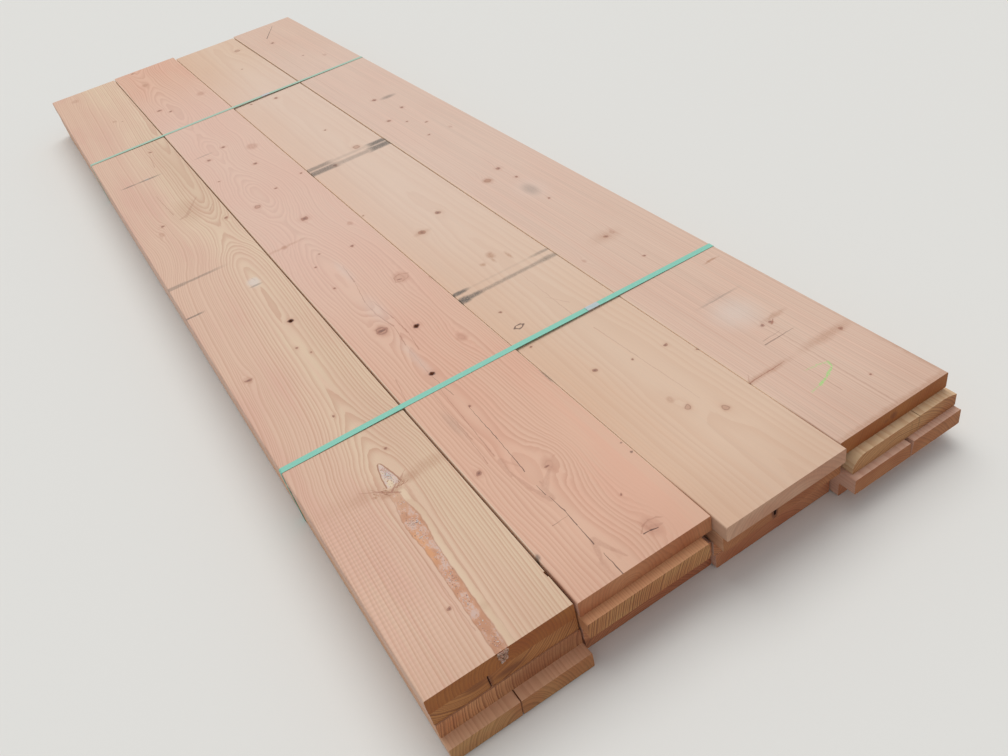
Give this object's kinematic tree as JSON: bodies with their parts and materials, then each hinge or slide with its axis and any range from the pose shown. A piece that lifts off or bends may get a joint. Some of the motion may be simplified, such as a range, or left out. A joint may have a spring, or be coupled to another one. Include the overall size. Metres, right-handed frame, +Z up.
{
  "type": "strapped stack of lumber",
  "caption": "Flat stack of long softwood planks laid side by side in level courses with staggered ends, bound by two flat plastic straps.",
  "frame": {"origin": "under the middle of the stack, on the level floor that it lies on", "axes": "+X across the planks, +Y along the planks away from the staggered near ends, +Z up"},
  "size_m": [1.162, 3.729, 0.1569],
  "materials": {
    "red_fir": "planed and unfinished, pinkish heartwood",
    "tan_fir": "planed and unfinished, tan wood",
    "sapwood_fir": "planed and unfinished, pale sapwood with wane",
    "green_strap": "smooth flat strapping"
  },
  "bodies": {
    "root": {"plank_a1": "red_fir", "plank_a2": "tan_fir", "plank_a3": "red_fir", "plank_a4": "red_fir", "plank_b1": "red_fir", "plank_b2": "tan_fir", "plank_b3": "red_fir", "plank_b4": "red_fir", "plank_c1": "tan_fir", "plank_c2": "red_fir", "plank_c3": "tan_fir", "plank_c4": "red_fir", "plank_d1": "red_fir", "plank_d2": "sapwood_fir", "plank_d3": "red_fir", "plank_d4": "red_fir", "strap_near": "green_strap", "strap_far": "green_strap"}
  },
  "joints": []
}
